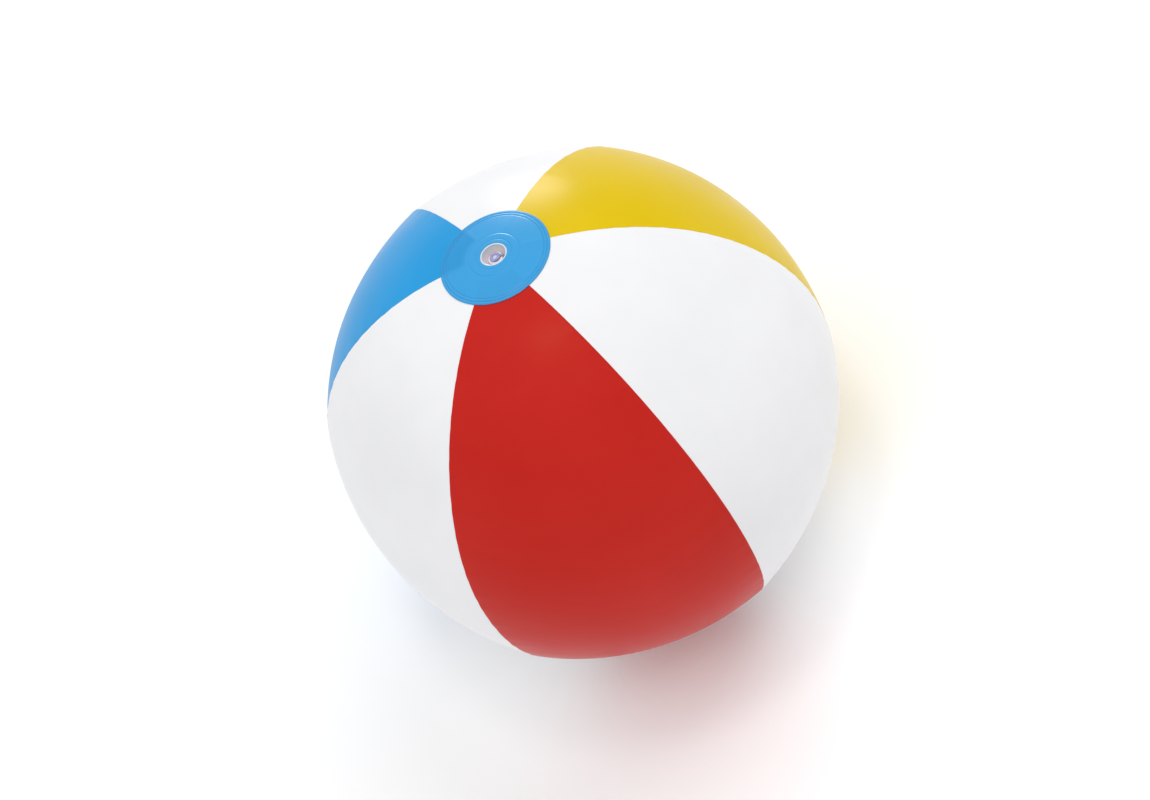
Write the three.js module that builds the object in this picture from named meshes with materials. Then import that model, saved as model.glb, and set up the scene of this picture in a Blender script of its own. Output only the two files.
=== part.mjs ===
// Inflatable beach ball: six welded film gores, a round disc welded over each pole,
// and a push-in valve in the upper disc. Millimetres, +Z up.
// The origin is the centre of the ball, +Z runs out through the valve, and -Y runs out
// through the middle of the red panel.

import * as THREE from 'three';

// Overall shape of the inflated ball
const SEAM_RADIUS = 181;          // axis to a seam, at the equator
const POLAR_HALF_HEIGHT = 175.5;  // centre to the gores' surface, at the pole
const OUTLINE_POWER = 2.11;       // 2 is an ellipse, more is squarer
const PANEL_DIP = 2.8;            // the middle of a panel lies this far inside its seams
const PANEL_NAMES = ['red', 'white_right', 'yellow', 'white_back', 'blue', 'white_left'];
const FIRST_PANEL_AZIMUTH = -Math.PI / 2;

// Film, welds and clearances
const FILM = 0.25;                // thickness of the gores and discs
const GAP = 0.3;                  // between pieces that touch
const FIN_DEPTH = 4;              // welded edge that stands inwards under each seam
const DISC_LAP = 19;              // disc over the points of the gores
const TIP_CLEARANCE = 1.5;        // points of the gores to the valve's flange
const REST_RADIUS = 16;           // flat patch that the ball stands on

// Push-in valve, measured from the disc's outer face at the edge of its hole
const HOLE_RADIUS = 9.5;
const FLANGE_WIDTH = 8;
const FLANGE_THICKNESS = 0.7;
const VALVE_TRAVEL = 18;          // how far the stem is pulled out of the ball
const SKIRT_TOP = -0.9;
const SKIRT_WALL = 0.6;
const STEM_RECESS = 3.8;
const STEM_LENGTH = 13.5;
const STEM_WALL = 2;
const STEM_RIM = 0.4;             // lip and collar stand this far out of the stem
const LIP_HEIGHT = 1.2;
const COLLAR_HEIGHT = 1.4;
const BORE_RADIUS = 2.6;
const BORE_DEPTH = 9.5;
const AIR_HOLE_RADIUS = 1.5;
const PLUG_LENGTH = 8.5;
const PLUG_CHAMFER = 0.6;
const PLUG_RUNNING_CLEARANCE = 0.3;
const HEAD_OVERHANG = 1.1;        // plug's head over the edge of the bore
const HEAD_THICKNESS = 1.1;
const DIMPLE_RADIUS = 1.5;
const DIMPLE_DEPTH = 0.6;
const TETHER_WIDTH = 1.6;
const TETHER_THICKNESS = 0.5;
const TETHER_DROP = 3.4;          // between the two ends of the tether
const FLAP_MARGIN = 1.7;          // flap over the edge of the air hole
const FLAP_THICKNESS = 0.6;
const FLAP_STRIP_WIDTH = 3;

// Fineness
const PANEL_COLUMNS = 8;
const PANEL_ROWS = 16;
const DISC_SEGMENTS = 36;
const VALVE_SEGMENTS = 24;
const FLAP_SEGMENTS = 20;
const TETHER_STEPS = 12;

// Sizes that follow from the ones above
const FLANGE_RADIUS = HOLE_RADIUS + FLANGE_WIDTH;
const TIP_RADIUS = FLANGE_RADIUS + TIP_CLEARANCE;
const DISC_RADIUS = TIP_RADIUS + DISC_LAP;
const LAP_RADII = [TIP_RADIUS, TIP_RADIUS + DISC_LAP / 2, DISC_RADIUS];
const PANEL_ANGLE = 2 * Math.PI / PANEL_NAMES.length;
const STEM_RADIUS = BORE_RADIUS + STEM_WALL;
const RIM_RADIUS = STEM_RADIUS + STEM_RIM;
const HEAD_RADIUS = BORE_RADIUS + HEAD_OVERHANG;
const STEM_TOP = -STEM_RECESS;
const STEM_BOTTOM = STEM_TOP - STEM_LENGTH;
const COLLAR_MIDDLE = SKIRT_TOP - VALVE_TRAVEL / 2;

const COLOURS = {
  red: 0xbf2b27,
  yellow: 0xe6c929,
  blue: 0x45a3df,
  white: 0xf0f0f2,
  clear: 0xdcd9e6,
};

function material(name, roughness) {
  return new THREE.MeshStandardMaterial({ color: COLOURS[name], roughness, metalness: 0 });
}

function named(name, geometry, surface) {
  const mesh = new THREE.Mesh(geometry, surface);
  mesh.name = name;
  return mesh;
}

// A point on the ball's outline, in the plane of the axis: latitude is a parameter that
// runs from -90 to 90 degrees, and offset is the distance outside the gores' surface.
function outline(latitude, offset) {
  const power = 2 / OUTLINE_POWER;
  const r = SEAM_RADIUS * Math.cos(latitude) ** power;
  const z = POLAR_HALF_HEIGHT * Math.abs(Math.sin(latitude)) ** power;
  const normal = new THREE.Vector2(
    (r / SEAM_RADIUS) ** (OUTLINE_POWER - 1) / SEAM_RADIUS,
    (z / POLAR_HALF_HEIGHT) ** (OUTLINE_POWER - 1) / POLAR_HALF_HEIGHT,
  ).normalize();
  const side = Math.sign(latitude);
  return new THREE.Vector2(r + offset * normal.x, side * (z + offset * normal.y));
}

function latitudeAtRadius(radius) {
  return Math.acos((radius / SEAM_RADIUS) ** (OUTLINE_POWER / 2));
}

// Rows of a gore and of the fins under it. The rows of facets at each end lie exactly
// under those of a disc's lapped edge.
function goreLatitudes() {
  const lapped = LAP_RADII.map(latitudeAtRadius);
  const lap = lapped.pop();
  const open = [];
  for (let row = 0; row <= PANEL_ROWS; row++) {
    open.push(lap * (2 * row / PANEL_ROWS - 1));
  }
  return [...lapped.map((latitude) => -latitude), ...open, ...lapped.reverse()];
}

// A box bent along a meridian at azimuth 0. place(across, latitude, depth) gives each
// vertex, with across and depth from -0.5 to 0.5.
function bentBox(columns, place) {
  const latitudes = goreLatitudes();
  const rows = latitudes.length - 1;
  const geometry = new THREE.BoxGeometry(1, 1, 1, columns, rows, 1);
  const position = geometry.attributes.position;
  for (let i = 0; i < position.count; i++) {
    const row = Math.round((position.getY(i) + 0.5) * rows);
    const point = place(position.getX(i), latitudes[row], position.getZ(i));
    position.setXYZ(i, point.x, point.y, point.z);
  }
  geometry.computeVertexNormals();
  return geometry;
}

// One gore: film whose edges are seams at half a panel's angle on each side, and whose
// middle dips inside them. The dip fades out towards the poles.
function panelGeometry() {
  return bentBox(PANEL_COLUMNS, (across, latitude, depth) => {
    const { x: r, y: z } = outline(latitude, (depth - 0.5) * FILM);
    const fade = 1 - (1 - Math.cos(latitude)) ** 4;
    const dip = PANEL_DIP / SEAM_RADIUS * fade * (1 - 4 * across ** 2);
    const azimuth = across * (PANEL_ANGLE - GAP / r);
    return new THREE.Vector3(
      r * (1 - dip) * Math.cos(azimuth),
      r * (1 - dip) * Math.sin(azimuth),
      z,
    );
  });
}

// The two film edges welded together under one seam
function finGeometry() {
  const top = -FILM - GAP;
  return bentBox(1, (across, latitude, depth) => {
    const { x: r, y: z } = outline(latitude, top + (depth - 0.5) * FIN_DEPTH);
    return new THREE.Vector3(r, across * 2 * FILM, z);
  });
}

// A turned solid about Z, from a closed outline of [radius, height] points
function turned(points, segments) {
  const profile = points.map(([r, z]) => new THREE.Vector2(r, z));
  return new THREE.LatheGeometry(profile, segments).rotateX(Math.PI / 2);
}

function closed(points) {
  return [...points, points[0]];
}

// The outline at one radius of the upper pole, as [radius, height]
function poleStation(radius, offset) {
  const { x: r, y: z } = outline(latitudeAtRadius(radius), offset);
  return [r, z];
}

// A ring of film or moulding that follows the pole, between two offsets
function poleRing(radii, low, high) {
  const under = radii.map((radius) => poleStation(radius, low));
  const over = radii.map((radius) => poleStation(radius, high)).reverse();
  return turned(closed([...under, ...over]), DISC_SEGMENTS);
}

function valveDiscGeometry() {
  const radii = [HOLE_RADIUS, FLANGE_RADIUS, ...LAP_RADII];
  return poleRing(radii, GAP, GAP + FILM);
}

function flangeGeometry() {
  return poleRing([HOLE_RADIUS, FLANGE_RADIUS], -FLANGE_THICKNESS, 0);
}

// The plain disc, flat in the middle, where the ball rests
function bottomDiscGeometry() {
  const radii = [REST_RADIUS, ...LAP_RADII];
  const outer = radii.map((radius) => poleStation(radius, GAP + FILM));
  const inner = radii.map((radius) => poleStation(radius, GAP)).reverse();
  const points = [[0, outer[0][1]], ...outer, ...inner, [0, inner.at(-1)[1]]];
  return turned(points.map(([r, z]) => [r, -z]), DISC_SEGMENTS);
}

// Soft funnel between the flange and the stem's collar
function skirtGeometry() {
  const top = HOLE_RADIUS - GAP;
  const foot = RIM_RADIUS + GAP + SKIRT_WALL;
  const points = [
    [foot - SKIRT_WALL, COLLAR_MIDDLE],
    [foot, COLLAR_MIDDLE],
    [top, SKIRT_TOP],
    [top - SKIRT_WALL, SKIRT_TOP],
  ];
  return turned(closed(points), VALVE_SEGMENTS);
}

// Stem: lip at the mouth, collar where the skirt joins it, and a bore for the plug that
// ends in a smaller air hole
function stemGeometry() {
  const collarTop = COLLAR_MIDDLE + COLLAR_HEIGHT / 2;
  const collarFoot = COLLAR_MIDDLE - COLLAR_HEIGHT / 2;
  const points = [
    [AIR_HOLE_RADIUS, STEM_BOTTOM],
    [STEM_RADIUS, STEM_BOTTOM],
    [STEM_RADIUS, collarFoot],
    [RIM_RADIUS, collarFoot],
    [RIM_RADIUS, collarTop],
    [STEM_RADIUS, collarTop],
    [STEM_RADIUS, STEM_TOP - LIP_HEIGHT],
    [RIM_RADIUS, STEM_TOP - LIP_HEIGHT],
    [RIM_RADIUS, STEM_TOP],
    [BORE_RADIUS, STEM_TOP],
    [BORE_RADIUS, STEM_TOP - BORE_DEPTH],
    [AIR_HOLE_RADIUS, STEM_TOP - BORE_DEPTH],
  ];
  return turned(closed(points), VALVE_SEGMENTS);
}

// Plug: a shaft in the bore and a dimpled head over the stem's lip
function plugGeometry() {
  const shaft = BORE_RADIUS - PLUG_RUNNING_CLEARANCE;
  const tip = STEM_TOP - PLUG_LENGTH;
  const headFoot = STEM_TOP + GAP;
  const headTop = headFoot + HEAD_THICKNESS;
  const points = [
    [0, tip],
    [shaft - PLUG_CHAMFER, tip],
    [shaft, tip + PLUG_CHAMFER],
    [shaft, headFoot],
    [HEAD_RADIUS, headFoot],
    [HEAD_RADIUS, headTop],
    [DIMPLE_RADIUS, headTop],
    [DIMPLE_RADIUS, headTop - DIMPLE_DEPTH],
    [0, headTop - DIMPLE_DEPTH],
  ];
  return turned(points, VALVE_SEGMENTS);
}

// Strap from the rim of the plug's head, round the stem's lip, to the stem's wall
function tetherGeometry() {
  const half = TETHER_THICKNESS / 2;
  const headMiddle = STEM_TOP + GAP + HEAD_THICKNESS / 2;
  const bulge = RIM_RADIUS + 2 * GAP + half;
  const path = new THREE.CatmullRomCurve3([
    new THREE.Vector3(HEAD_RADIUS + GAP, 0, headMiddle),
    new THREE.Vector3(bulge - half, 0, headMiddle - half),
    new THREE.Vector3(bulge, 0, headMiddle - TETHER_DROP / 2),
    new THREE.Vector3(STEM_RADIUS + GAP + half, 0, headMiddle - TETHER_DROP),
  ]);
  const section = new THREE.Shape();
  section.moveTo(-TETHER_WIDTH / 2, -half);
  section.lineTo(TETHER_WIDTH / 2, -half);
  section.lineTo(TETHER_WIDTH / 2, half);
  section.lineTo(-TETHER_WIDTH / 2, half);
  section.closePath();
  return new THREE.ExtrudeGeometry(section, { steps: TETHER_STEPS, extrudePath: path });
}

// Flap under the air hole, with the strip that it hinges on at -X
function flapGeometry() {
  const radius = AIR_HOLE_RADIUS + FLAP_MARGIN;
  const half = FLAP_STRIP_WIDTH / 2;
  const meet = Math.asin(half / radius);
  const shape = new THREE.Shape();
  shape.moveTo(-STEM_RADIUS, half);
  shape.lineTo(-STEM_RADIUS, -half);
  shape.absarc(0, 0, radius, meet - Math.PI, Math.PI - meet, false);
  shape.closePath();
  const geometry = new THREE.ExtrudeGeometry(shape, {
    depth: FLAP_THICKNESS,
    bevelEnabled: false,
    curveSegments: FLAP_SEGMENTS,
  });
  return geometry.translate(0, 0, STEM_BOTTOM - GAP - FLAP_THICKNESS);
}

function makeEnvelope() {
  const envelope = new THREE.Group();
  const panel = panelGeometry();
  const fin = finGeometry();
  PANEL_NAMES.forEach((name, index) => {
    const azimuth = FIRST_PANEL_AZIMUTH + index * PANEL_ANGLE;
    const colour = name.split('_')[0];
    const gore = named(`panel_${name}`, panel, material(colour, 0.35));
    gore.rotation.z = azimuth;
    const edge = named(`seam_fin_${index + 1}`, fin, material(colour, 0.4));
    edge.rotation.z = azimuth + PANEL_ANGLE / 2;
    envelope.add(gore, edge);
  });
  envelope.add(named('valve_disc', valveDiscGeometry(), material('blue', 0.35)));
  envelope.add(named('bottom_disc', bottomDiscGeometry(), material('blue', 0.35)));
  envelope.add(named('valve_flange', flangeGeometry(), material('clear', 0.2)));
  return envelope;
}

function makeValve() {
  const valve = new THREE.Group();
  valve.position.z = poleStation(HOLE_RADIUS, GAP + FILM)[1];
  valve.add(named('valve_skirt', skirtGeometry(), material('clear', 0.2)));
  valve.add(named('valve_stem', stemGeometry(), material('clear', 0.2)));
  valve.add(named('valve_plug', plugGeometry(), material('clear', 0.2)));
  valve.add(named('plug_tether', tetherGeometry(), material('clear', 0.2)));
  valve.add(named('valve_flap', flapGeometry(), material('clear', 0.2)));
  return valve;
}

const ball = new THREE.Group();
ball.add(makeEnvelope(), makeValve());

export default ball;
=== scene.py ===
"""The looks of an inflatable beach ball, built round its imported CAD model.

Lengths are in metres. The ball's centre is the origin, +Z runs out through the valve and
-Y runs out through the middle of the red panel.
"""

import math

import bmesh
import bpy
import numpy as np
from mathutils import Matrix, Vector, noise


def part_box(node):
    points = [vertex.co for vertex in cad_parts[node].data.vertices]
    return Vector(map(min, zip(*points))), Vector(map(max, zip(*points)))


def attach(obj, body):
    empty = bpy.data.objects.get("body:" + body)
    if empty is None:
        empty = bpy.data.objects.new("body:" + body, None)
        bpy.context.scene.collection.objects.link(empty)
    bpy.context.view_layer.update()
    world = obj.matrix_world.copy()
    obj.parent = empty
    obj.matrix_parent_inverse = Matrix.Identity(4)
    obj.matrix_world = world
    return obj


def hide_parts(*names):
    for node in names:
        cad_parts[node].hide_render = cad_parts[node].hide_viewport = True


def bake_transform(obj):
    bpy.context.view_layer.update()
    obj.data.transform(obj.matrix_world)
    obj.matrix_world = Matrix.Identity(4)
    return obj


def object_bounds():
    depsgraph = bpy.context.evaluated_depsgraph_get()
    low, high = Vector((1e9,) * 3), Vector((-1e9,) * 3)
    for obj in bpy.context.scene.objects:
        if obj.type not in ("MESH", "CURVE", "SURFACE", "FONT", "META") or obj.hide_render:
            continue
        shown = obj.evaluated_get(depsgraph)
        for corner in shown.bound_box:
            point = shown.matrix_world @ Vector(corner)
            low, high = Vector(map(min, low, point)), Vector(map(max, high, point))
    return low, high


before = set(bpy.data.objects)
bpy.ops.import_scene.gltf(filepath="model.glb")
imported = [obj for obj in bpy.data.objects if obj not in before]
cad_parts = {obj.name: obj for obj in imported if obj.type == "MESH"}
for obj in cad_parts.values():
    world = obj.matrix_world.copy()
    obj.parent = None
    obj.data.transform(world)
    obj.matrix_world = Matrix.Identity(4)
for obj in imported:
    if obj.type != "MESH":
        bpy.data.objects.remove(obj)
cad_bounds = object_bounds()

MM = 0.001

# ---------------------------------------------------------------- the ball's outline

OUTLINE_POWER = 2.11
PANEL_DIP = 2.8 * MM            # the middle of a panel lies this far inside its seams
FILM = 0.25 * MM
FIN_DEPTH = 4 * MM
DISC_LIFT = 0.3 * MM            # the disc's film over the gores' surface
HOLE_RADIUS = 9.5 * MM
FLANGE_RADIUS = 17.5 * MM
FLANGE_STEP_RADIUS = 12.3 * MM  # ring that the flange prints in the disc, nearer the hole
TIP_RADIUS = 19 * MM            # the gores' points end under the discs
DISC_RADIUS = 38 * MM
WELD_INSET = 2.1 * MM           # outer of the two weld lines, from the disc's edge
WELD_WIDTH = 2.0 * MM           # between the two weld lines
REST_RADIUS = 16 * MM           # flat patch that the ball stands on
PANELS = ["red", "white_right", "yellow", "white_back", "blue", "white_left"]
FIRST_PANEL_AZIMUTH = -math.pi / 2
PANEL_ANGLE = 2 * math.pi / len(PANELS)

SEAM_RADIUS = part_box("panel_white_right")[1].x
TIP_LATITUDE = math.acos((TIP_RADIUS / SEAM_RADIUS) ** (OUTLINE_POWER / 2))
POLAR_HALF_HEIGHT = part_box("panel_red")[1].z / math.sin(TIP_LATITUDE) ** (2 / OUTLINE_POWER)


def outline(latitude, offset):
    """Radius and height of the gores' surface, moved outwards by offset."""
    power = 2 / OUTLINE_POWER
    side = np.sign(latitude)
    r = SEAM_RADIUS * np.cos(latitude) ** power
    z = POLAR_HALF_HEIGHT * np.abs(np.sin(latitude)) ** power
    nr = (r / SEAM_RADIUS) ** (OUTLINE_POWER - 1) / SEAM_RADIUS
    nz = (z / POLAR_HALF_HEIGHT) ** (OUTLINE_POWER - 1) / POLAR_HALF_HEIGHT
    length = np.hypot(nr, nz)
    return r + offset * nr / length, side * (z + offset * nz / length)


def latitude_at(radius):
    """Latitude of the point of the upper half that lies this far from the axis."""
    return np.arccos(np.clip(radius / SEAM_RADIUS, 0, 1) ** (OUTLINE_POWER / 2))


def dip_share(latitude, across):
    """How far the surface lies inside the seams, as a share of its radius."""
    fade = 1 - (1 - np.cos(latitude)) ** 4
    return PANEL_DIP / SEAM_RADIUS * fade * (1 - across ** 2)


# ---------------------------------------------------------------- mesh helpers


def finish_mesh(name, mesh_data, smooth_angle=40):
    """A new object from a bmesh, with its faces pointing outwards and smooth shading."""
    bmesh.ops.recalc_face_normals(mesh_data, faces=mesh_data.faces)
    mesh = bpy.data.meshes.new(name)
    mesh_data.to_mesh(mesh)
    mesh_data.free()
    mesh.polygons.foreach_set("use_smooth", [True] * len(mesh.polygons))
    mesh.set_sharp_from_angle(angle=math.radians(smooth_angle))
    piece = bpy.data.objects.new(name, mesh)
    bpy.context.scene.collection.objects.link(piece)
    return piece


def loft(name, loops):
    """A closed solid through equal closed loops of points. Each loop runs out and back,
    so the ends are closed by faces between its first and second half."""
    rows, count = loops.shape[:2]
    solid = bmesh.new()
    verts = [solid.verts.new(point) for point in loops.reshape(-1, 3)]
    for row in range(rows - 1):
        here, there = row * count, (row + 1) * count
        for i in range(count):
            j = (i + 1) % count
            solid.faces.new((verts[here + i], verts[here + j], verts[there + j], verts[there + i]))
    for base in (0, (rows - 1) * count):
        for i in range(count // 2 - 1):
            corners = (i, i + 1, count - 2 - i, count - 1 - i)
            solid.faces.new([verts[base + k] for k in corners])
    return finish_mesh(name, solid)


def stack(name, rings):
    """A closed solid from equal rings of points, one above the other, with flat ends."""
    solid = bmesh.new()
    rings = [[solid.verts.new(point) for point in ring] for ring in rings]
    count = len(rings[0])
    for a, b in zip(rings, rings[1:]):
        for k in range(count):
            j = (k + 1) % count
            solid.faces.new((a[k], a[j], b[j], b[k]))
    solid.faces.new(rings[0][::-1])
    solid.faces.new(rings[-1])
    return finish_mesh(name, solid)


def rounded(points, radii, steps=5):
    """A closed profile whose corners are rounded, each by its own radius."""
    result = []
    count = len(points)
    for i, (corner, radius) in enumerate(zip(points, radii)):
        corner = Vector(corner)
        before = Vector(points[i - 1]) - corner
        after = Vector(points[(i + 1) % count]) - corner
        radius = min(radius, 0.49 * before.length, 0.49 * after.length)
        if radius <= 0:
            result.append(corner)
            continue
        start = corner + before.normalized() * radius
        end = corner + after.normalized() * radius
        for step in range(steps + 1):
            t = step / steps
            result.append((1 - t) ** 2 * start + 2 * t * (1 - t) * corner + t ** 2 * end)
    return result


def turned(name, profile, segments, height=0.0, shape=None):
    """A solid turned about Z from a closed profile of (radius, height) points. Points on
    the axis close it there. shape moves a point, given as radius, azimuth and height."""
    solid = bmesh.new()
    rings = []
    for r, z in profile:
        if r < 1e-7:
            rings.append([solid.verts.new((0, 0, z + height))] * segments)
            continue
        ring = []
        for k in range(segments):
            azimuth = 2 * math.pi * k / segments
            rr, zz = shape(r, azimuth, z) if shape else (r, z)
            across, along = rr * math.cos(azimuth), rr * math.sin(azimuth)
            ring.append(solid.verts.new((across, along, zz + height)))
        rings.append(ring)
    for low, high in zip(rings, rings[1:] + rings[:1]):
        for k in range(segments):
            j = (k + 1) % segments
            corners = []
            for vert in (low[k], low[j], high[j], high[k]):
                if vert not in corners:
                    corners.append(vert)
            if len(corners) > 2:
                solid.faces.new(corners)
    return finish_mesh(name, solid)


# ---------------------------------------------------------------- materials

DIMPLE_RADIUS = 1.5 * MM        # in the head of the plug

COLOURS = {
    "red": (0.540, 0.0184, 0.0142),
    "yellow": (0.725, 0.510, 0.001),
    "blue": (0.017, 0.318, 0.695),
    "white": (0.860, 0.862, 0.878),
}
DISC_COLOUR = (0.030, 0.338, 0.705)
LAP_TINTS = {                    # the disc's colour over a gore, as a share of its own
    "blue": (0.30, 0.87, 0.92),
    "red": (1.05, 0.96, 0.96),
    "yellow": (1.05, 1.00, 0.97),
}
DARK_LINES_AND_SHADE_RINGS = [                   # radius, half width and tint of a darker line in a disc; the edge and weld lines are darker, and the flange's rings get painted shade
    (DISC_RADIUS - 0.2 * MM, 0.6 * MM, (0.72, 0.82, 0.88)),
    (DISC_RADIUS - WELD_INSET, 0.7 * MM, (0.70, 0.80, 0.87)),
    (DISC_RADIUS - WELD_INSET - WELD_WIDTH, 0.7 * MM, (0.75, 0.84, 0.90)),
    # painted shade along the flange's edge and along its ring nearer the hole
    (FLANGE_RADIUS, 0.9 * MM, (0.93, 0.97, 0.98)),
    (FLANGE_STEP_RADIUS, 0.9 * MM, (0.88, 0.94, 0.97)),
]
# painted reflection and refraction: warm pink and lilac tints that the clear vinyl picks up from
# the ball round it
CLEAR_REFLECTION_SHADES = (0.97, 0.87, 0.82), (0.91, 0.84, 0.92)
RIM_HIGHLIGHT_SHADE = (0.74, 0.84, 0.92)  # painted highlight: bluish-white shine on the thick bead round the mouth of the valve
PLUG_SHADES = (0.30, 0.31, 0.55), (0.40, 0.40, 0.64)
DIMPLE_SHADE = (0.66, 0.68, 0.95)

LAP_FADE = TIP_RADIUS - 1 * MM, TIP_RADIUS + 5 * MM
LAP_SOFTNESS = math.radians(4)
# radii over which the painted highlight at the valve's rim fades in
RIM_HIGHLIGHT_FADE = HOLE_RADIUS - 1.9 * MM, HOLE_RADIUS - 1.1 * MM

NO_TINT = (1, 1, 1)
GLOSS_TINTS = {"red": (1.0, 0.72, 0.42)}

# The larger a noise's scale, the finer it is
CLOUD_SCALE = 11
GLOSS_SCALE = 26
FILM_ROUGHNESS = 0.285, 0.345
FILM_SPECULAR = 0.11
DISC_SPECULAR = 0.45            # the discs are the glossier film
WAVE_SCALE = 38
WAVE_DEPTH = 0.12 * MM
GRAIN_SCALE = 2600
GRAIN_DEPTH = 0.004 * MM

CLEAR_TRANSMISSION = 0.08
CLEAR_SPECULAR = 0.5
CLEAR_ROUGHNESS = 0.16
CLEAR_CLOUD_SCALE = 170
PLUG_ROUGHNESS = 0.17
PLUG_CLOUD_SCALE = 400
SHEEN_SCALE = 500
SHEEN_SPREAD = 0.08
FLOW_SCALE = 900
FLOW_DEPTH = 0.03 * MM


class Nodes:
    """Short hand for building one material's node tree."""

    def __init__(self, name):
        self.material = bpy.data.materials.new(name)
        self.material.use_nodes = True
        self.tree = self.material.node_tree
        self.shader = self.tree.nodes["Principled BSDF"]
        coordinates = self.tree.nodes.new("ShaderNodeTexCoord")
        self.place = coordinates.outputs["Object"]

    def link(self, output, socket):
        self.tree.links.new(output, socket)

    def noise(self, scale, detail=2.0, roughness=0.5):
        node = self.tree.nodes.new("ShaderNodeTexNoise")
        node.inputs["Scale"].default_value = scale
        node.inputs["Detail"].default_value = detail
        node.inputs["Roughness"].default_value = roughness
        self.link(self.place, node.inputs["Vector"])
        return node.outputs["Fac"]

    def spread(self, value, low, high, start=0.3, end=0.7):
        node = self.tree.nodes.new("ShaderNodeMapRange")
        node.interpolation_type = "SMOOTHSTEP"
        node.inputs["From Min"].default_value = start
        node.inputs["From Max"].default_value = end
        node.inputs["To Min"].default_value = low
        node.inputs["To Max"].default_value = high
        self.link(value, node.inputs["Value"])
        return node.outputs["Result"]

    def mix(self, factor, one, other):
        node = self.tree.nodes.new("ShaderNodeMix")
        node.data_type = "RGBA"
        self.link(factor, node.inputs["Factor"])
        for socket, colour in ((node.inputs["A"], one), (node.inputs["B"], other)):
            if isinstance(colour, tuple):
                socket.default_value = (*colour, 1)
            else:
                self.link(colour, socket)
        return node.outputs["Result"]

    def tint(self, colour, mask, tint):
        """The colour, multiplied by the tint where the mask is 1."""
        node = self.tree.nodes.new("ShaderNodeMix")
        node.data_type = "RGBA"
        node.blend_type = "MULTIPLY"
        self.link(mask, node.inputs["Factor"])
        self.link(colour, node.inputs["A"])
        node.inputs["B"].default_value = (*tint, 1)
        return node.outputs["Result"]

    def math(self, operation, one, other):
        node = self.tree.nodes.new("ShaderNodeMath")
        node.operation = operation
        for socket, value in zip(node.inputs, (one, other)):
            if isinstance(value, (int, float)):
                socket.default_value = value
            else:
                self.link(value, socket)
        return node.outputs[0]

    def radius(self):
        """Distance from the ball's axis."""
        flat = self.tree.nodes.new("ShaderNodeVectorMath")
        flat.operation = "MULTIPLY"
        self.link(self.place, flat.inputs[0])
        flat.inputs[1].default_value = (1, 1, 0)
        length = self.tree.nodes.new("ShaderNodeVectorMath")
        length.operation = "LENGTH"
        self.link(flat.outputs["Vector"], length.inputs[0])
        return length.outputs["Value"]

    def ring(self, radius, half_width):
        """A mask that is 1 on a circle round the axis and falls to 0 beside it."""
        away = self.math("ABSOLUTE", self.math("SUBTRACT", self.radius(), radius), 0)
        return self.spread(away, 1, 0, 0, half_width)

    def sector(self, azimuth, half_angle, softness):
        """A mask that is 1 between two meridians."""
        along = self.tree.nodes.new("ShaderNodeVectorMath")
        along.operation = "DOT_PRODUCT"
        self.link(self.place, along.inputs[0])
        along.inputs[1].default_value = (math.cos(azimuth), math.sin(azimuth), 0)
        cosine = self.math("DIVIDE", along.outputs["Value"], self.radius())
        start, end = math.cos(half_angle + softness), math.cos(half_angle - softness)
        return self.spread(cosine, 0, 1, start, end)

    def bump(self, value, distance, strength=1.0, under=None):
        node = self.tree.nodes.new("ShaderNodeBump")
        node.inputs["Strength"].default_value = strength
        node.inputs["Distance"].default_value = distance
        self.link(value, node.inputs["Height"])
        if under is not None:
            self.link(under, node.inputs["Normal"])
        return node.outputs["Normal"]


def cloudy(nodes, colour):
    """Faintly cloudy pigment."""
    lighter = tuple(min(1.0, c * 1.02 + 0.002) for c in colour)
    darker = tuple(c * 0.975 for c in colour)
    return nodes.mix(nodes.spread(nodes.noise(CLOUD_SCALE, 3.0, 0.55), 0, 1), darker, lighter)


def film_surface(nodes, colour, specular=FILM_SPECULAR):
    """Soft-gloss vinyl film: slow changes of gloss, slack waves and a calendered grain."""
    shader = nodes.shader
    nodes.link(colour, shader.inputs["Base Color"])
    gloss = nodes.spread(nodes.noise(GLOSS_SCALE, 2.0), *FILM_ROUGHNESS)
    nodes.link(gloss, shader.inputs["Roughness"])
    waves = nodes.bump(nodes.noise(WAVE_SCALE, 1.0), WAVE_DEPTH, 0.5)
    grain = nodes.bump(nodes.noise(GRAIN_SCALE, 1.0), GRAIN_DEPTH, 0.6, waves)
    nodes.link(grain, shader.inputs["Normal"])
    shader.inputs["Specular IOR Level"].default_value = specular
    return nodes.material


def film_material(name, colour, gloss):
    """Film of one gore, with the tint of its highlights."""
    nodes = Nodes(name)
    nodes.shader.inputs["Specular Tint"].default_value = (*gloss, 1)
    return film_surface(nodes, cloudy(nodes, colour))


def disc_material():
    """Blue film of the discs. It is thin enough to change a little where it laps the
    coloured gores, and its weld lines are darker. Painted shade darkens the rings that the flange
    raises."""
    nodes = Nodes("disc_film")
    colour = cloudy(nodes, DISC_COLOUR)
    lapped = nodes.spread(nodes.radius(), 0, 1, *LAP_FADE)
    for index, panel in enumerate(PANELS):
        if panel in LAP_TINTS:
            azimuth = FIRST_PANEL_AZIMUTH + index * PANEL_ANGLE
            over_gore = nodes.sector(azimuth, PANEL_ANGLE / 2, LAP_SOFTNESS)
            mask = nodes.math("MULTIPLY", over_gore, lapped)
            colour = nodes.tint(colour, mask, LAP_TINTS[panel])
    # darker edge and weld lines, and painted shade on the flange's rings
    for radius, half_width, tint in DARK_LINES_AND_SHADE_RINGS:
        colour = nodes.tint(colour, nodes.ring(radius, half_width), tint)
    return film_surface(nodes, colour, DISC_SPECULAR)


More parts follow.
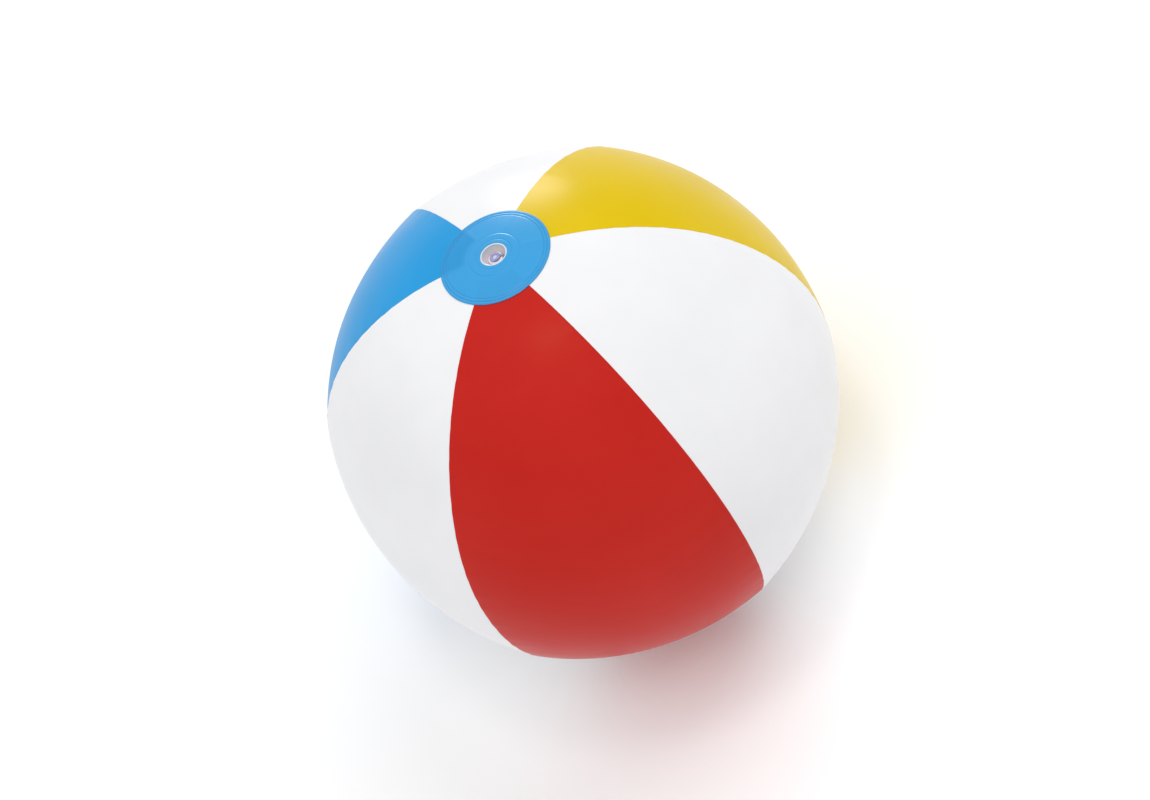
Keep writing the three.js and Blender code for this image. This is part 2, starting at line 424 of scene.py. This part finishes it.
def vinyl_surface(nodes, colour, roughness):
    """Soft clear moulding, a little milky, with fine flow marks."""
    shader = nodes.shader
    nodes.link(colour, shader.inputs["Base Color"])
    uneven = nodes.spread(nodes.noise(SHEEN_SCALE), roughness, roughness + SHEEN_SPREAD)
    nodes.link(uneven, shader.inputs["Roughness"])
    flow = nodes.bump(nodes.noise(FLOW_SCALE, 2.0), FLOW_DEPTH, 0.6)
    nodes.link(flow, shader.inputs["Normal"])
    shader.inputs["Transmission Weight"].default_value = CLEAR_TRANSMISSION
    shader.inputs["Specular IOR Level"].default_value = CLEAR_SPECULAR
    return nodes.material


def clear_material():
    """Vinyl of the valve, painted with reflected tints: it shifts between two shades, and a
    painted highlight makes it brightest at its rim.
    """
    nodes = Nodes("clear_vinyl")
    # the funnel's colour is painted reflection, two reflected tints mixed by noise
    funnel = nodes.mix(nodes.spread(nodes.noise(CLEAR_CLOUD_SCALE, 2.0), 0, 1), *CLEAR_REFLECTION_SHADES)
    # mask of the painted highlight at the rim of the mouth
    rim = nodes.spread(nodes.radius(), 0, 1, *RIM_HIGHLIGHT_FADE)
    return vinyl_surface(nodes, nodes.mix(rim, funnel, RIM_HIGHLIGHT_SHADE), CLEAR_ROUGHNESS)


def plug_material():
    """The same vinyl, violet in the plug and lighter in the dimple of its head."""
    nodes = Nodes("plug_vinyl")
    violet = nodes.mix(nodes.spread(nodes.noise(PLUG_CLOUD_SCALE, 2.0), 0, 1), *PLUG_SHADES)
    dimple = nodes.spread(nodes.radius(), 1, 0, 0.6 * DIMPLE_RADIUS, 1.2 * DIMPLE_RADIUS)
    colour = nodes.mix(dimple, violet, DIMPLE_SHADE)
    return vinyl_surface(nodes, colour, PLUG_ROUGHNESS)


FILMS = {name: film_material(f"{name}_film", colour, GLOSS_TINTS.get(name, NO_TINT))
         for name, colour in COLOURS.items()}
DISC_FILM = disc_material()
CLEAR = clear_material()
PLUG_CLEAR = plug_material()


def dress(piece, material, slot_name, body, *nodes):
    """Gives a piece its material and body, and hides the CAD nodes that it stands for; slot_name
    is not used.
    """
    piece.data.materials.append(material)
    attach(piece, body)
    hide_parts(*nodes)
    return piece


# ---------------------------------------------------------------- gores and seams

PANEL_ROWS = 150
PANEL_COLUMNS = 56
SEAM_CLEARANCE = 0.02 * MM
EDGE_RADIUS = 0.16 * MM         # film rolls inwards to its weld
EDGE_DROP = 1.0 * MM
EDGE_STEPS = 4
PUCKER_HEIGHT = 0.10 * MM
PUCKER_REACH = 9 * MM
PUCKER_LENGTH = 17 * MM         # two waves make the puckers uneven
PUCKER_RATIO = 0.63             # the shorter wave, as a share of the longer
SWELL_HEIGHT = 0.35 * MM
SWELL_SIZE = 75 * MM


def swell(points):
    """Slow unevenness of blown-up film, as an offset for each point."""
    scale = 1 / SWELL_SIZE
    offsets = [noise.noise(Vector(point) * scale) for point in points.reshape(-1, 3)]
    return np.array(offsets).reshape(points.shape[:-1]) * SWELL_HEIGHT


def gore_stations():
    """Across one gore's outer skin from edge to edge: [fraction of the flat part,
    distance back from the seam, depth below the surface]."""
    edge = []
    for step in range(EDGE_STEPS + 1):
        angle = step / EDGE_STEPS * math.pi / 2
        back = SEAM_CLEARANCE + EDGE_RADIUS * (1 - math.sin(angle))
        edge.append((1.0, back, EDGE_RADIUS * (1 - math.cos(angle))))
    edge.append((1.0, SEAM_CLEARANCE, EDGE_RADIUS + EDGE_DROP))
    across = np.linspace(-1, 1, PANEL_COLUMNS + 1)[1:-1]
    flat = [(a, SEAM_CLEARANCE + EDGE_RADIUS, 0.0) for a in across]
    left = [(-side, back, depth) for side, back, depth in reversed(edge)]
    return left + flat + edge


def gore_skin(stations, latitudes, inside):
    """Points of one skin of a gore centred on azimuth 0, as rows of points."""
    side = np.array([s[0] for s in stations])[None, :]
    back = np.array([s[1] for s in stations])[None, :]
    depth = np.array([s[2] for s in stations])[None, :]
    if inside:
        back = back + FILM * (depth > 0)
        depth = np.where(depth > FILM, depth, FILM)
    latitude = latitudes[:, None]
    r_seam, _ = outline(latitude, 0)
    azimuth = side * (PANEL_ANGLE / 2 - back / r_seam)
    r, z = outline(latitude, -depth)
    radius = r * (1 - dip_share(latitude, azimuth / (PANEL_ANGLE / 2)))
    return np.stack([radius * np.cos(azimuth), radius * np.sin(azimuth), z + 0 * radius], axis=-1)


def turn(points, azimuth):
    """Points turned about Z."""
    c, s = math.cos(azimuth), math.sin(azimuth)
    matrix = np.array([[c, s, 0], [-s, c, 0], [0, 0, 1]])
    return points @ matrix


def relief(points, latitudes):
    """Outward offset of the film at each point: slow swells, and small puckers that run
    off the seams."""
    azimuth = np.arctan2(points[..., 1], points[..., 0])
    radius = np.hypot(points[..., 0], points[..., 1])
    phase = (azimuth - FIRST_PANEL_AZIMUTH - PANEL_ANGLE / 2) % PANEL_ANGLE
    from_seam = np.minimum(phase, PANEL_ANGLE - phase) * radius
    along = latitudes[:, None] * SEAM_RADIUS
    phase_along = 2 * math.pi * along / PUCKER_LENGTH
    wave = np.sin(phase_along) + np.sin(phase_along / PUCKER_RATIO)
    pucker = PUCKER_HEIGHT * wave * np.exp(-from_seam / PUCKER_REACH)
    calm = np.clip((radius - DISC_RADIUS) / DISC_RADIUS, 0, 1)
    return (swell(points) + pucker) * calm


def gore_latitudes():
    return np.linspace(-TIP_LATITUDE, TIP_LATITUDE, PANEL_ROWS + 1)


def make_gore(name, azimuth):
    """One gore as a thin closed shell whose long edges roll inwards to their welds."""
    stations = gore_stations()
    latitudes = gore_latitudes()
    outer = turn(gore_skin(stations, latitudes, False), azimuth)
    inner = turn(gore_skin(stations, latitudes, True), azimuth)
    direction = outer / np.linalg.norm(outer, axis=-1, keepdims=True)
    lift = relief(outer, latitudes)[..., None] * direction
    loops = np.concatenate([outer + lift, (inner + lift)[:, ::-1]], axis=1)
    return loft(name, loops)


def make_fin(name, azimuth):
    """The two welded film edges under one seam."""
    latitudes = gore_latitudes()
    top = -(EDGE_RADIUS + EDGE_DROP * 0.2)
    section = [(-1, 0.0), (-0.75, 1.0), (0.75, 1.0), (1, 0.0)]
    loops = []
    for side, share in section:
        r, z = outline(latitudes, top - share * (FIN_DEPTH - EDGE_DROP))
        loops.append(np.stack([r, side * FILM * 0.9 + 0 * r, z], axis=-1))
    points = turn(np.stack(loops, axis=1), azimuth)
    return loft(name, points)


def make_envelope():
    for index, panel in enumerate(PANELS):
        colour = panel.split("_")[0]
        azimuth = FIRST_PANEL_AZIMUTH + index * PANEL_ANGLE
        gore = make_gore(f"film_{panel}", azimuth)
        dress(gore, FILMS[colour], f"{colour}_film", "ball", f"panel_{panel}")
        fin = make_fin(f"weld_{index + 1}", azimuth + PANEL_ANGLE / 2)
        dress(fin, FILMS[colour], f"{colour}_film", "ball", f"seam_fin_{index + 1}")


# ---------------------------------------------------------------- discs over the poles

DISC_SEGMENTS = 180
WELD_DEPTH = 0.24 * MM
WELD_SHARPNESS = 0.42 * MM
FLANGE_MARK = 0.13 * MM
OUTER_GROOVE = 1.3              # depths of the marks' grooves, as shares of their height
INNER_GROOVE = 0.9
MARK_WIDTH = 0.5 * MM
MARK_SOFTNESS = 0.35 * MM
DISC_STEP = 0.22 * MM
DISC_EDGE = 0.5 * MM            # the disc's rim thins over this
PRINT_HEIGHT = 0.10 * MM        # seams showing through a disc
PRINT_WIDTH = 1.4 * MM
PRINT_FADE = 3 * MM


def weld_relief(r):
    """Height that the welding tool leaves on a disc at radius r."""
    height = 0.0
    for line in (DISC_RADIUS - WELD_INSET, DISC_RADIUS - WELD_INSET - WELD_WIDTH):
        height -= WELD_DEPTH * math.exp(-(((r - line) / WELD_SHARPNESS) ** 2))
    return height


def valve_relief(r):
    """Height that the valve's flange raises on the valve disc at radius r."""
    step = 1 / (1 + math.exp((r - FLANGE_RADIUS) / MARK_SOFTNESS))
    groove = math.exp(-(((r - FLANGE_RADIUS) / MARK_WIDTH) ** 2))
    inner = math.exp(-(((r - FLANGE_STEP_RADIUS) / MARK_WIDTH) ** 2))
    return FLANGE_MARK * (step - OUTER_GROOVE * groove - INNER_GROOVE * inner)


def disc_profile(inner_radius, has_valve):
    """Upper and lower outline of a disc at the upper pole, from its inner radius to its
    edge."""
    radii = list(np.arange(inner_radius, DISC_RADIUS, DISC_STEP)) + [DISC_RADIUS]
    over, under = [], []
    for radius in radii:
        lift = DISC_LIFT + weld_relief(radius)
        if has_valve:
            lift += valve_relief(radius)
        edge = max(0.0, 1 - (DISC_RADIUS - radius) / DISC_EDGE)
        r, z = outline(latitude_at(radius), lift + FILM - 0.5 * FILM * edge ** 2)
        over.append((float(r), float(z)))
        r, z = outline(latitude_at(radius), lift)
        under.append((float(r), float(z)))
    return over, under


def seam_print(r, azimuth, z):
    """The gores' seams show faintly through the lapped edge of a disc."""
    phase = (azimuth - FIRST_PANEL_AZIMUTH - PANEL_ANGLE / 2) % PANEL_ANGLE
    from_seam = min(phase, PANEL_ANGLE - phase) * r
    lapped = min(1.0, max(0.0, (r - TIP_RADIUS) / PRINT_FADE))
    lift = PRINT_HEIGHT * lapped * math.exp(-((from_seam / PRINT_WIDTH) ** 2))
    return r, z + math.copysign(lift, z)


def make_valve_disc():
    over, under = disc_profile(HOLE_RADIUS, True)
    r0, z0 = over[0]
    roll = [(r0 - 0.10 * MM, z0 - 0.10 * MM), (r0 - 0.14 * MM, z0 - 0.30 * MM)]
    profile = list(reversed(over)) + roll + under
    return turned("disc_valve_end", profile, DISC_SEGMENTS, shape=seam_print)


def make_plain_disc():
    over, under = disc_profile(REST_RADIUS, False)
    profile = [(0.0, over[0][1])] + over + list(reversed(under)) + [(0.0, under[0][1])]
    below = [(r, -z) for r, z in profile]
    return turned("disc_plain_end", below, DISC_SEGMENTS, shape=seam_print)


def make_discs():
    dress(make_valve_disc(), DISC_FILM, "blue_film", "ball", "valve_disc")
    dress(make_plain_disc(), DISC_FILM, "blue_film", "ball", "bottom_disc")


# ---------------------------------------------------------------- valve

VALVE_HEIGHT = float(outline(latitude_at(HOLE_RADIUS), DISC_LIFT + FILM)[1])
STEM_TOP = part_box("valve_stem")[1].z - VALVE_HEIGHT
STEM_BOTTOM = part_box("valve_stem")[0].z - VALVE_HEIGHT
SKIRT_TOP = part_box("valve_skirt")[1].z - VALVE_HEIGHT
COLLAR_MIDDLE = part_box("valve_skirt")[0].z - VALVE_HEIGHT
STEM_RADIUS = 4.6 * MM
RIM_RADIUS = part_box("valve_stem")[1].x
BORE_RADIUS = 2.6 * MM
BORE_DEPTH = 9.5 * MM
AIR_HOLE_RADIUS = 1.5 * MM
LIP_HEIGHT = 1.2 * MM
COLLAR_HALF = 0.7 * MM
HEAD_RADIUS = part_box("valve_plug")[1].x
HEAD_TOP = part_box("valve_plug")[1].z - VALVE_HEIGHT
HEAD_THICKNESS = 1.1 * MM
PLUG_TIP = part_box("valve_plug")[0].z - VALVE_HEIGHT
SHAFT_RADIUS = 2.3 * MM
DIMPLE_DEPTH = 0.6 * MM
FLANGE_THICKNESS = 0.7 * MM
FLANGE_STEPS = 12
FLANGE_GAP = 0.08 * MM          # under the disc's film
SKIRT_WALL = 0.6 * MM
SKIRT_STEPS = 22
SKIRT_RISE = 0.5 * MM           # its bead stands above the CAD skirt
SKIRT_BULGE = 0.45 * MM
BEAD = 0.55 * MM                # round the mouth of the skirt
BEAD_STEPS = 1.6
VALVE_SEGMENTS = 96


def make_flange():
    """The valve's flange under the disc, which follows the pole."""
    radii = np.linspace(HOLE_RADIUS, FLANGE_RADIUS, FLANGE_STEPS)
    over = [outline(latitude_at(r), DISC_LIFT - FLANGE_GAP) for r in radii]
    under = [outline(latitude_at(r), -FLANGE_THICKNESS) for r in radii]
    profile = [(float(r), float(z)) for r, z in over + under[::-1]]
    return turned("flange", profile, VALVE_SEGMENTS)


def make_skirt():
    """Soft funnel with a bead round its mouth, between the flange and the stem."""
    mouth = HOLE_RADIUS - 0.12 * MM
    foot = RIM_RADIUS + 0.25 * MM
    outer, inner = [], []
    for step in range(SKIRT_STEPS + 1):
        t = step / SKIRT_STEPS
        r = mouth + (foot + SKIRT_WALL - mouth) * t + SKIRT_BULGE * math.sin(math.pi * t)
        z = SKIRT_TOP + SKIRT_RISE + (COLLAR_MIDDLE - SKIRT_TOP - SKIRT_RISE) * t
        bead = BEAD * math.exp(-((step / BEAD_STEPS) ** 2))
        outer.append((r, z))
        inner.append((r - SKIRT_WALL - bead, z))
    top = outer[0][1]
    lip = [
        (mouth - 0.15 * MM, top + 0.22 * MM),
        (mouth - 0.55 * MM, top + 0.34 * MM),
        (inner[0][0] + 0.2 * MM, top + 0.24 * MM),
    ]
    profile = outer[::-1] + lip + inner
    return turned("skirt", profile, VALVE_SEGMENTS, VALVE_HEIGHT)


def make_stem():
    """Tube with a collar where the skirt ends and a lip round its mouth."""
    collar_top = COLLAR_MIDDLE + COLLAR_HALF
    collar_foot = COLLAR_MIDDLE - COLLAR_HALF
    corners = [
        (AIR_HOLE_RADIUS, STEM_BOTTOM, 0.15),
        (STEM_RADIUS, STEM_BOTTOM, 0.35),
        (STEM_RADIUS, collar_foot, 0.15),
        (RIM_RADIUS, collar_foot, 0.25),
        (RIM_RADIUS, collar_top, 0.25),
        (STEM_RADIUS, collar_top, 0.2),
        (STEM_RADIUS, STEM_TOP - LIP_HEIGHT, 0.15),
        (RIM_RADIUS, STEM_TOP - LIP_HEIGHT, 0.25),
        (RIM_RADIUS, STEM_TOP, 0.5),
        (BORE_RADIUS, STEM_TOP, 0.4),
        (BORE_RADIUS, STEM_TOP - BORE_DEPTH, 0.2),
        (AIR_HOLE_RADIUS, STEM_TOP - BORE_DEPTH, 0.15),
    ]
    profile = rounded([c[:2] for c in corners], [c[2] * MM for c in corners])
    return turned("stem", profile, VALVE_SEGMENTS, VALVE_HEIGHT)


def make_plug():
    """Stopper with a sealing bead near its tip and a dimple in its head."""
    head_foot = HEAD_TOP - HEAD_THICKNESS
    bead = SHAFT_RADIUS + 0.2 * MM
    corners = [
        (0.0, PLUG_TIP, 0.0),
        (SHAFT_RADIUS - 0.6 * MM, PLUG_TIP, 0.4),
        (SHAFT_RADIUS, PLUG_TIP + 0.8 * MM, 0.4),
        (SHAFT_RADIUS, PLUG_TIP + 2.2 * MM, 0.2),
        (bead, PLUG_TIP + 2.6 * MM, 0.2),
        (SHAFT_RADIUS, PLUG_TIP + 3.0 * MM, 0.2),
        (SHAFT_RADIUS, head_foot, 0.2),
        (HEAD_RADIUS, head_foot, 0.3),
        (HEAD_RADIUS, HEAD_TOP, 0.45),
        (DIMPLE_RADIUS + 0.4 * MM, HEAD_TOP, 0.3),
        (DIMPLE_RADIUS, HEAD_TOP - DIMPLE_DEPTH, 0.25),
        (0.0, HEAD_TOP - DIMPLE_DEPTH + 0.15 * MM, 0.0),
    ]
    profile = rounded([c[:2] for c in corners], [c[2] * MM for c in corners])
    return turned("plug", profile, VALVE_SEGMENTS, VALVE_HEIGHT)


TETHER_WIDTH = 1.6 * MM
TETHER_THICKNESS = 0.5 * MM
TETHER_DROP = 3.4 * MM
TETHER_STEPS = 12               # between two knots
TETHER_SIDES = 16
FLAP_STRIP_HALF = 1.5 * MM
FLAP_STEPS = 40
FLAP_EDGE = 0.12 * MM
WEB_HALF = 1.3 * MM
WEB_BACK = 0.1 * MM             # from the free edge of the flap's strip
WEB_FRONT = 0.8 * MM
WEB_OVERLAP = 0.1 * MM          # the web's ends lie inside the flap and the stem


def make_tether():
    """Strap from the rim of the plug's head, round the stem's lip, to the stem."""
    half = TETHER_THICKNESS / 2
    middle = HEAD_TOP - HEAD_THICKNESS / 2
    bulge = RIM_RADIUS + 0.6 * MM + half
    knots = [
        Vector((HEAD_RADIUS - 0.3 * MM, 0, middle)),
        Vector((bulge - half, 0, middle - half)),
        Vector((bulge, 0, middle - TETHER_DROP / 2)),
        Vector((STEM_RADIUS - 0.1 * MM, 0, middle - TETHER_DROP)),
    ]
    path = []
    for i in range(len(knots) - 1):
        a = knots[max(0, i - 1)]
        b, c = knots[i], knots[i + 1]
        d = knots[min(len(knots) - 1, i + 2)]
        for step in range(TETHER_STEPS):
            t = step / TETHER_STEPS
            path.append(0.5 * (2 * b + (c - a) * t + (2 * a - 5 * b + 4 * c - d) * t ** 2
                               + (3 * b - a - 3 * c + d) * t ** 3))
    path.append(knots[-1])
    loops = []
    for i, point in enumerate(path):
        along = (path[min(i + 1, len(path) - 1)] - path[max(i - 1, 0)]).normalized()
        across = Vector((0, 1, 0))
        up = along.cross(across)
        ring = []
        for k in range(TETHER_SIDES):
            angle = 2 * math.pi * (k + 0.5) / TETHER_SIDES
            y = math.copysign(abs(math.cos(angle)) ** 0.6, math.cos(angle)) * TETHER_WIDTH / 2
            h = math.copysign(abs(math.sin(angle)) ** 0.6, math.sin(angle)) * half
            ring.append(point + across * y + up * h)
        loops.append(ring)
    return loft("tether", np.array(loops))


def make_flap():
    """Flap under the air hole, with the strip that it hinges on."""
    low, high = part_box("valve_flap")
    radius = high.x
    meet = math.asin(FLAP_STRIP_HALF / radius)
    edge = [(low.x, FLAP_STRIP_HALF), (low.x, -FLAP_STRIP_HALF)]
    for step in range(FLAP_STEPS + 1):
        angle = meet - math.pi + (2 * math.pi - 2 * meet) * step / FLAP_STEPS
        edge.append((radius * math.cos(angle), radius * math.sin(angle)))
    layers = [
        (low.z, FLAP_EDGE),
        (low.z + FLAP_EDGE, 0),
        (high.z - FLAP_EDGE, 0),
        (high.z, FLAP_EDGE),
    ]
    rings = []
    for z, inset in layers:
        shares = [1 - inset / math.hypot(x, y) for x, y in edge]
        rings.append([(x * share, y * share, z) for (x, y), share in zip(edge, shares)])
    return stack("flap", rings)


def make_flap_web():
    """Thin web that joins the flap's strip to the stem's foot."""
    low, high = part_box("valve_flap")
    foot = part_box("valve_stem")[0].z
    back = low.x + WEB_BACK
    front = low.x + WEB_FRONT
    corners = [(back, -WEB_HALF), (front, -WEB_HALF), (front, WEB_HALF), (back, WEB_HALF)]
    layers = [high.z - WEB_OVERLAP, high.z, (high.z + foot) / 2, foot + WEB_OVERLAP]
    return stack("flap_web", [[(x, y, z) for x, y in corners] for z in layers])


def make_valve():
    dress(make_flange(), CLEAR, "clear_valve", "ball", "valve_flange")
    dress(make_stem(), CLEAR, "clear_valve", "stem", "valve_stem")
    dress(make_plug(), PLUG_CLEAR, "clear_valve", "plug", "valve_plug")
    dress(make_flap(), CLEAR, "clear_valve", "flap", "valve_flap")
    web = make_flap_web()
    web.data.materials.append(CLEAR)
    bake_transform(web)
    skirt = make_skirt()
    skirt.data.materials.append(CLEAR)
    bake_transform(skirt)
    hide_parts("valve_skirt")
    tether = make_tether()
    tether.data.transform(Matrix.Translation((0, 0, VALVE_HEIGHT)))
    tether.data.materials.append(PLUG_CLEAR)
    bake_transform(tether)
    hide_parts("plug_tether")


# ---------------------------------------------------------------- camera and studio

CAMERA_AZIMUTH = math.radians(15.95)
CAMERA_ELEVATION = math.radians(50.3)
CAMERA_ROLL = math.radians(-31.4)
CAMERA_PAN = math.radians(0.27)
CAMERA_TILT = math.radians(0.09)
CAMERA_DISTANCE = 7.645 * SEAM_RADIUS
LENS = 60.7
SENSOR_WIDTH = 36

# Directions are in the camera's axes at rest: right, up, and towards the viewer
STUDIO_RADIANCE = 0.39
WALLS = [                        # direction and added radiance of the studio's brighter sides
    ((0, 1, 0), 0.08),
    ((0, -1, 0), 0.16),
    ((-1, 0, 0), 0.17),
]
SUN_DISTANCE = 2.0              # has no effect on the light
SUNS = [                         # name, direction, irradiance, angle; not seen in reflections
    ("key", (0.08, 0.90, 0.43), 0.89, 40),
    ("fill", (-0.34, 0.32, 0.88), 0.76, 40),
]
# name, direction, distance, size, watts; a lamp with False shows in reflections only
SOFTBOXES = [
    ("window", (-0.28, 0.51, 0.81), 1.8, 0.34, 2.7, True),
    ("door", (-0.05, 0.22, 0.97), 1.8, 0.30, 0.6, True),
    ("strip", (-0.26, 0.92, -0.30), 2.2, 0.60, 14.0, False),
    ("lamp", (0.55, 0.82, -0.16), 2.2, 0.16, 0.4, True),
]
FLOOR_SHADES = (0.93, 0.93, 0.935), (0.94, 0.94, 0.945)
FLOOR_ROUGHNESS = 0.7
FLOOR_SPECULAR = 0.1
FLOOR_GLOW = 0.085
FLOOR_SIDES = 48
FLOOR_SWEEP = [                  # radius and rise
    (9, 0),
    (13, 0.25),
    (17, 1.0),
    (20, 2.4),
    (22, 4.4),
    (22.5, 6),
]


def sight(azimuth, elevation):
    """Unit vector from the ball towards a viewer."""
    return Vector((
        math.sin(azimuth) * math.cos(elevation),
        -math.cos(azimuth) * math.cos(elevation),
        math.sin(elevation),
    ))


def make_camera():
    data = bpy.data.cameras.new("camera")
    data.lens = LENS
    data.sensor_width = SENSOR_WIDTH
    camera = bpy.data.objects.new("camera", data)
    bpy.context.scene.collection.objects.link(camera)
    towards = sight(CAMERA_AZIMUTH, CAMERA_ELEVATION)
    facing = towards.to_track_quat("Z", "Y").to_matrix().to_4x4()
    aim = Matrix.Rotation(CAMERA_ROLL, 4, "Z")
    aim = aim @ Matrix.Rotation(CAMERA_PAN, 4, "Y") @ Matrix.Rotation(CAMERA_TILT, 4, "X")
    camera.matrix_world = Matrix.Translation(towards * CAMERA_DISTANCE) @ facing @ aim
    bpy.context.scene.camera = camera
    return camera


def make_floor(height):
    """A plain floor that sweeps up far away, so it ends in no line."""
    sweep = bmesh.new()
    angles = [index * 2 * math.pi / FLOOR_SIDES for index in range(FLOOR_SIDES)]
    rings = []
    for radius, rise in FLOOR_SWEEP:
        ring = [(radius * math.cos(angle), radius * math.sin(angle)) for angle in angles]
        rings.append([sweep.verts.new((x, y, height + rise)) for x, y in ring])
    sweep.faces.new(rings[0])
    for inner, outer in zip(rings, rings[1:]):
        for index in range(FLOOR_SIDES):
            after = (index + 1) % FLOOR_SIDES
            face = sweep.faces.new((inner[index], outer[index], outer[after], inner[after]))
            face.smooth = True
    mesh = bpy.data.meshes.new("floor")
    sweep.to_mesh(mesh)
    sweep.free()
    floor = bpy.data.objects.new("floor", mesh)
    bpy.context.scene.collection.objects.link(floor)
    nodes = Nodes("pale_floor")
    shader = nodes.shader
    nodes.link(nodes.mix(nodes.noise(3), *FLOOR_SHADES), shader.inputs["Base Color"])
    shader.inputs["Roughness"].default_value = FLOOR_ROUGHNESS
    shader.inputs["Specular IOR Level"].default_value = FLOOR_SPECULAR
    shader.inputs["Emission Color"].default_value = (1, 1, 1, 1)
    shader.inputs["Emission Strength"].default_value = FLOOR_GLOW
    floor.data.materials.append(nodes.material)


def make_world(axes):
    """An evenly bright studio with brighter sides, each strongest in its middle."""
    world = bpy.data.worlds.new("studio")
    bpy.context.scene.world = world
    world.use_nodes = True
    tree = world.node_tree
    coordinates = tree.nodes.new("ShaderNodeTexCoord")
    base = tree.nodes.new("ShaderNodeValue")
    base.outputs[0].default_value = STUDIO_RADIANCE
    total = base.outputs[0]
    for direction, radiance in WALLS:
        facing = tree.nodes.new("ShaderNodeVectorMath")
        facing.operation = "DOT_PRODUCT"
        tree.links.new(coordinates.outputs["Generated"], facing.inputs[0])
        facing.inputs[1].default_value = axes @ Vector(direction).normalized()
        share = tree.nodes.new("ShaderNodeMath")
        share.operation = "MAXIMUM"
        tree.links.new(facing.outputs["Value"], share.inputs[0])
        share.inputs[1].default_value = 0
        added = tree.nodes.new("ShaderNodeMath")
        added.operation = "MULTIPLY_ADD"
        tree.links.new(share.outputs[0], added.inputs[0])
        added.inputs[1].default_value = radiance
        tree.links.new(total, added.inputs[2])
        total = added.outputs[0]
    background = tree.nodes["Background"]
    background.inputs["Color"].default_value = (1, 1, 1, 1)
    tree.links.new(total, background.inputs["Strength"])


def make_lamp(name, kind, direction, distance, energy):
    """A lamp that shines at the ball from this direction."""
    data = bpy.data.lights.new(name, kind)
    data.energy = energy
    lamp = bpy.data.objects.new(name, data)
    lamp.location = direction.normalized() * distance
    lamp.rotation_euler = direction.to_track_quat("Z", "Y").to_euler()
    bpy.context.scene.collection.objects.link(lamp)
    return lamp


def make_studio(camera):
    make_floor(cad_bounds[0][2])
    axes = camera.matrix_world.to_3x3()
    make_world(axes)
    for name, direction, irradiance, angle in SUNS:
        sun = make_lamp(name, "SUN", axes @ Vector(direction), SUN_DISTANCE, irradiance)
        sun.data.angle = math.radians(angle)
        sun.visible_glossy = False
    for name, direction, distance, size, power, diffuse in SOFTBOXES:
        softbox = make_lamp(name, "AREA", axes @ Vector(direction), distance, power)
        softbox.data.shape = "DISK"
        softbox.data.size = size
        softbox.visible_diffuse = diffuse
    bpy.context.scene.view_settings.view_transform = "Standard"


make_envelope()
make_discs()
make_valve()
make_studio(make_camera())
